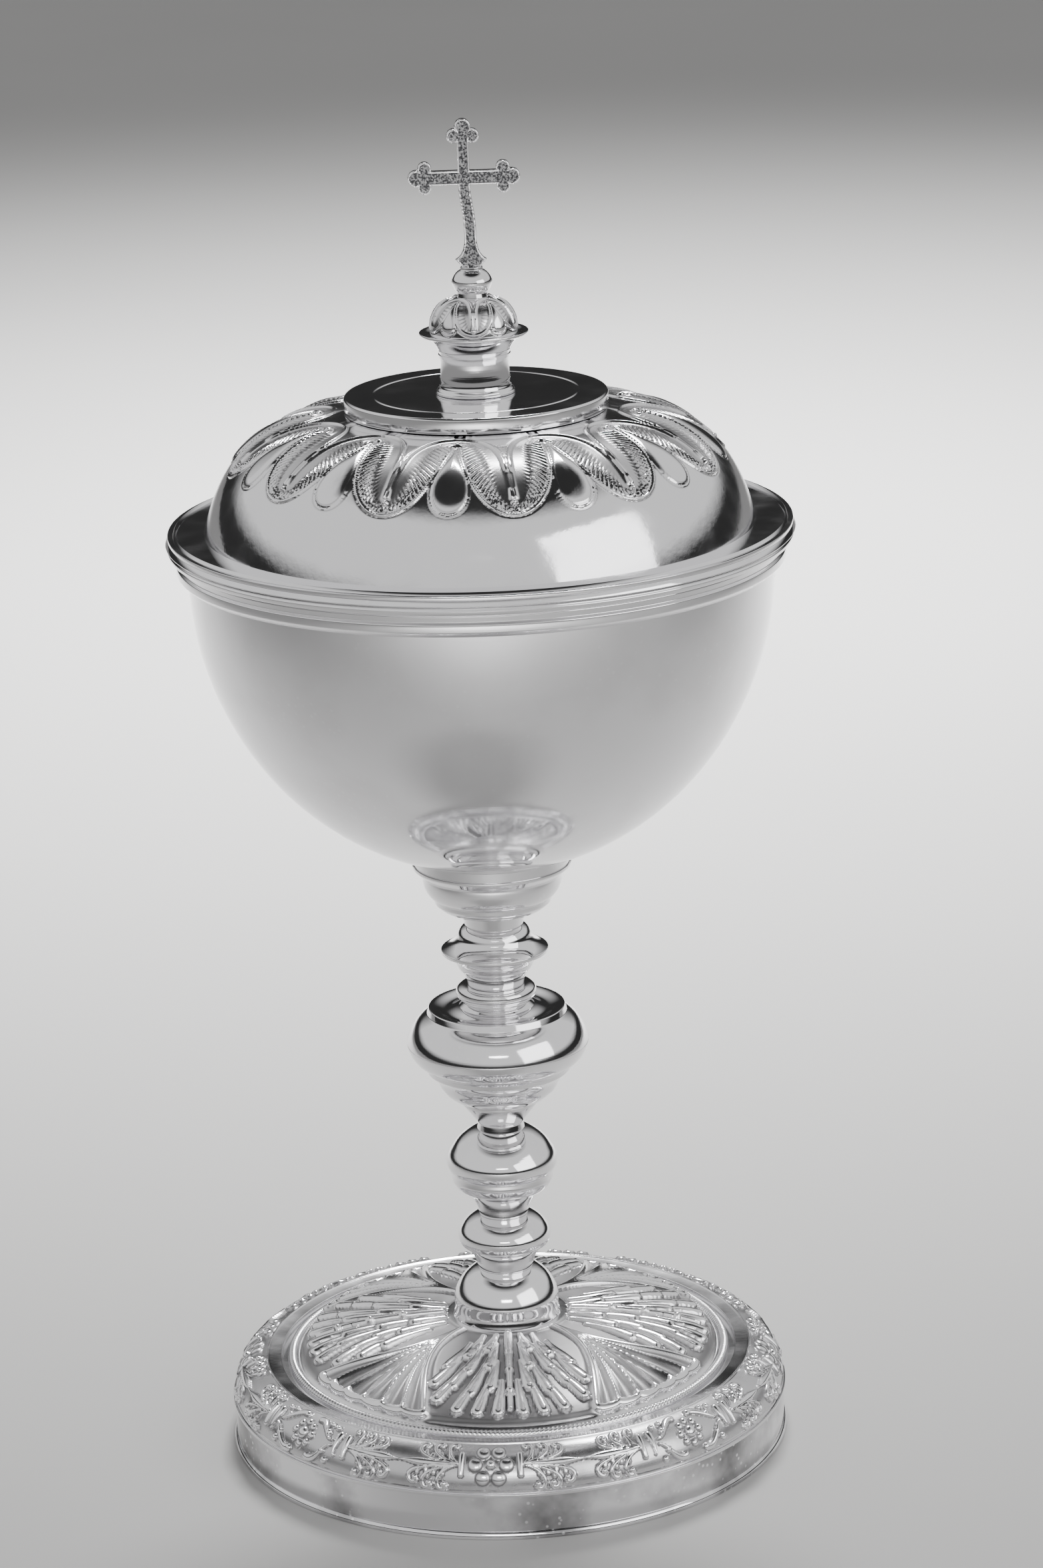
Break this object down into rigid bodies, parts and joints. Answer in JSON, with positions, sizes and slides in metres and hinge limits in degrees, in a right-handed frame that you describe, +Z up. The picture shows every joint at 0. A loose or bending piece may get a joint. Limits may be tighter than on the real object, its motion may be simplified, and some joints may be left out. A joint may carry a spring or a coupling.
{
  "type": "ciborium",
  "caption": "Lidded silver church cup with a domed palmette lid, a budded cross finial, a turned knopped stem and a chased round foot.",
  "frame": {"origin": "middle of the foot, on the surface that the piece stands on", "axes": "+Z up along the stem; the cross faces -Y, with its arms along X"},
  "size_m": [0.1384, 0.1384, 0.3026],
  "materials": {
    "polished_silver": "bright polished silver",
    "chased_silver": "chased and slightly tarnished silver",
    "brass": "plain turned brass"
  },
  "bodies": {
    "root": {"cup_bowl": "polished_silver", "cup_rim_moulding": "polished_silver", "cup_boss": "brass", "cup_calyx": "polished_silver", "upper_stem_knop": "polished_silver", "ring_knop": "polished_silver", "main_knop_upper_shell": "polished_silver", "main_knop_lower_shell": "polished_silver", "stem_collar": "polished_silver", "middle_stem_knop": "polished_silver", "lower_stem_knop": "polished_silver", "stem_base_bell": "polished_silver", "tie_rod": "brass", "foot_dome": "chased_silver", "foot_milled_ring": "chased_silver", "foot_border": "chased_silver", "skirt_top_fillet": "polished_silver", "foot_skirt": "polished_silver", "foot_base_ring": "polished_silver", "foot_washer": "brass", "foot_nut": "brass"},
    "lid": {"finial_cross": "chased_silver", "finial_ball": "polished_silver", "finial_petal_cap": "chased_silver", "finial_saucer": "polished_silver", "finial_neck": "polished_silver", "lid_top_plate": "polished_silver", "lid_dome": "chased_silver", "lid_bead_wire": "polished_silver", "lid_edge_moulding": "polished_silver", "lid_bezel": "polished_silver", "finial_screw": "brass", "finial_washer": "brass", "finial_nut": "brass"}
  },
  "joints": [
    {"name": "lid_lift", "type": "slide", "parent": "root", "child": "lid", "axis": [0, 0, 1], "range_m": [0, 0.12]}
  ]
}
